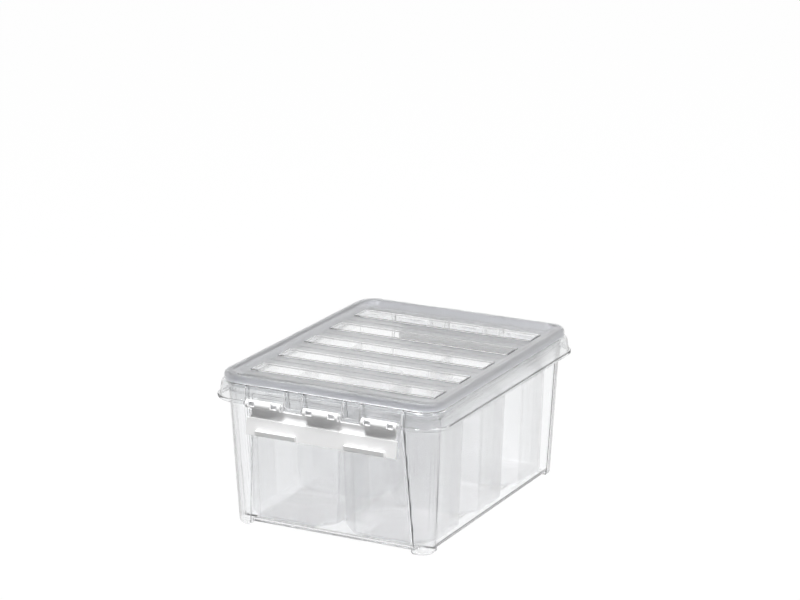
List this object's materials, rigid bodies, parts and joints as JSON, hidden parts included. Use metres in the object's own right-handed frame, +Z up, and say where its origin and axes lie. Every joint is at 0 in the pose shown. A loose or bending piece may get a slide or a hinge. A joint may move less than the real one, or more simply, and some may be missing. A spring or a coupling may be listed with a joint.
{
  "type": "storage box",
  "caption": "Clear rectangular storage box with a flared rim, a ribbed lift-off lid, hinged clip handles on its short sides and frosted octagonal inserts.",
  "frame": {"origin": "on the floor, under the middle of the box", "axes": "+Z up; +X along the short side; +Y along the long side, from the front clip to the rear one"},
  "size_m": [0.3082, 0.403, 0.1912],
  "materials": {
    "clear_tub": "clear polished moulding",
    "clear_lid": "clear moulding with stepped bands",
    "white_clip": "white polished moulding",
    "frosted_insert": "milky frosted moulding"
  },
  "bodies": {
    "tub": {"tub": "clear_tub"},
    "lid": {"lid": "clear_lid"},
    "front_clip": {"front_clip": "white_clip"},
    "rear_clip": {"rear_clip": "white_clip"},
    "insert_front_left": {"insert_front_left": "frosted_insert"},
    "insert_front_right": {"insert_front_right": "frosted_insert"},
    "insert_middle_left": {"insert_middle_left": "frosted_insert"},
    "insert_middle_right": {"insert_middle_right": "frosted_insert"},
    "insert_rear_left": {"insert_rear_left": "frosted_insert"},
    "insert_rear_right": {"insert_rear_right": "frosted_insert"}
  },
  "joints": [
    {"name": "lid_lift", "type": "slide", "parent": "tub", "child": "lid", "axis": [0, 0, 1], "range_m": [0, 0.31]},
    {"name": "front_clip_swing", "type": "hinge", "parent": "tub", "child": "front_clip", "pos_m": [0, -0.19415, 0.161], "axis": [-1, 0, 0], "range_deg": [0, 186]},
    {"name": "rear_clip_swing", "type": "hinge", "parent": "tub", "child": "rear_clip", "pos_m": [0, 0.19415, 0.161], "axis": [1, 0, 0], "range_deg": [0, 186]},
    {"name": "insert_front_left_lift", "type": "slide", "parent": "tub", "child": "insert_front_left", "axis": [0, 0, 1], "range_m": [0, 0.186]},
    {"name": "insert_front_right_lift", "type": "slide", "parent": "tub", "child": "insert_front_right", "axis": [0, 0, 1], "range_m": [0, 0.186]},
    {"name": "insert_middle_left_lift", "type": "slide", "parent": "tub", "child": "insert_middle_left", "axis": [0, 0, 1], "range_m": [0, 0.186]},
    {"name": "insert_middle_right_lift", "type": "slide", "parent": "tub", "child": "insert_middle_right", "axis": [0, 0, 1], "range_m": [0, 0.186]},
    {"name": "insert_rear_left_lift", "type": "slide", "parent": "tub", "child": "insert_rear_left", "axis": [0, 0, 1], "range_m": [0, 0.186]},
    {"name": "insert_rear_right_lift", "type": "slide", "parent": "tub", "child": "insert_rear_right", "axis": [0, 0, 1], "range_m": [0, 0.186]}
  ],
  "couplings": [
    {"joint": "insert_front_left_lift", "follows": "lid_lift", "ratio": 0.6},
    {"joint": "insert_front_right_lift", "follows": "lid_lift", "ratio": 0.6},
    {"joint": "insert_middle_left_lift", "follows": "lid_lift", "ratio": 0.6},
    {"joint": "insert_middle_right_lift", "follows": "lid_lift", "ratio": 0.6},
    {"joint": "insert_rear_left_lift", "follows": "lid_lift", "ratio": 0.6},
    {"joint": "insert_rear_right_lift", "follows": "lid_lift", "ratio": 0.6}
  ]
}
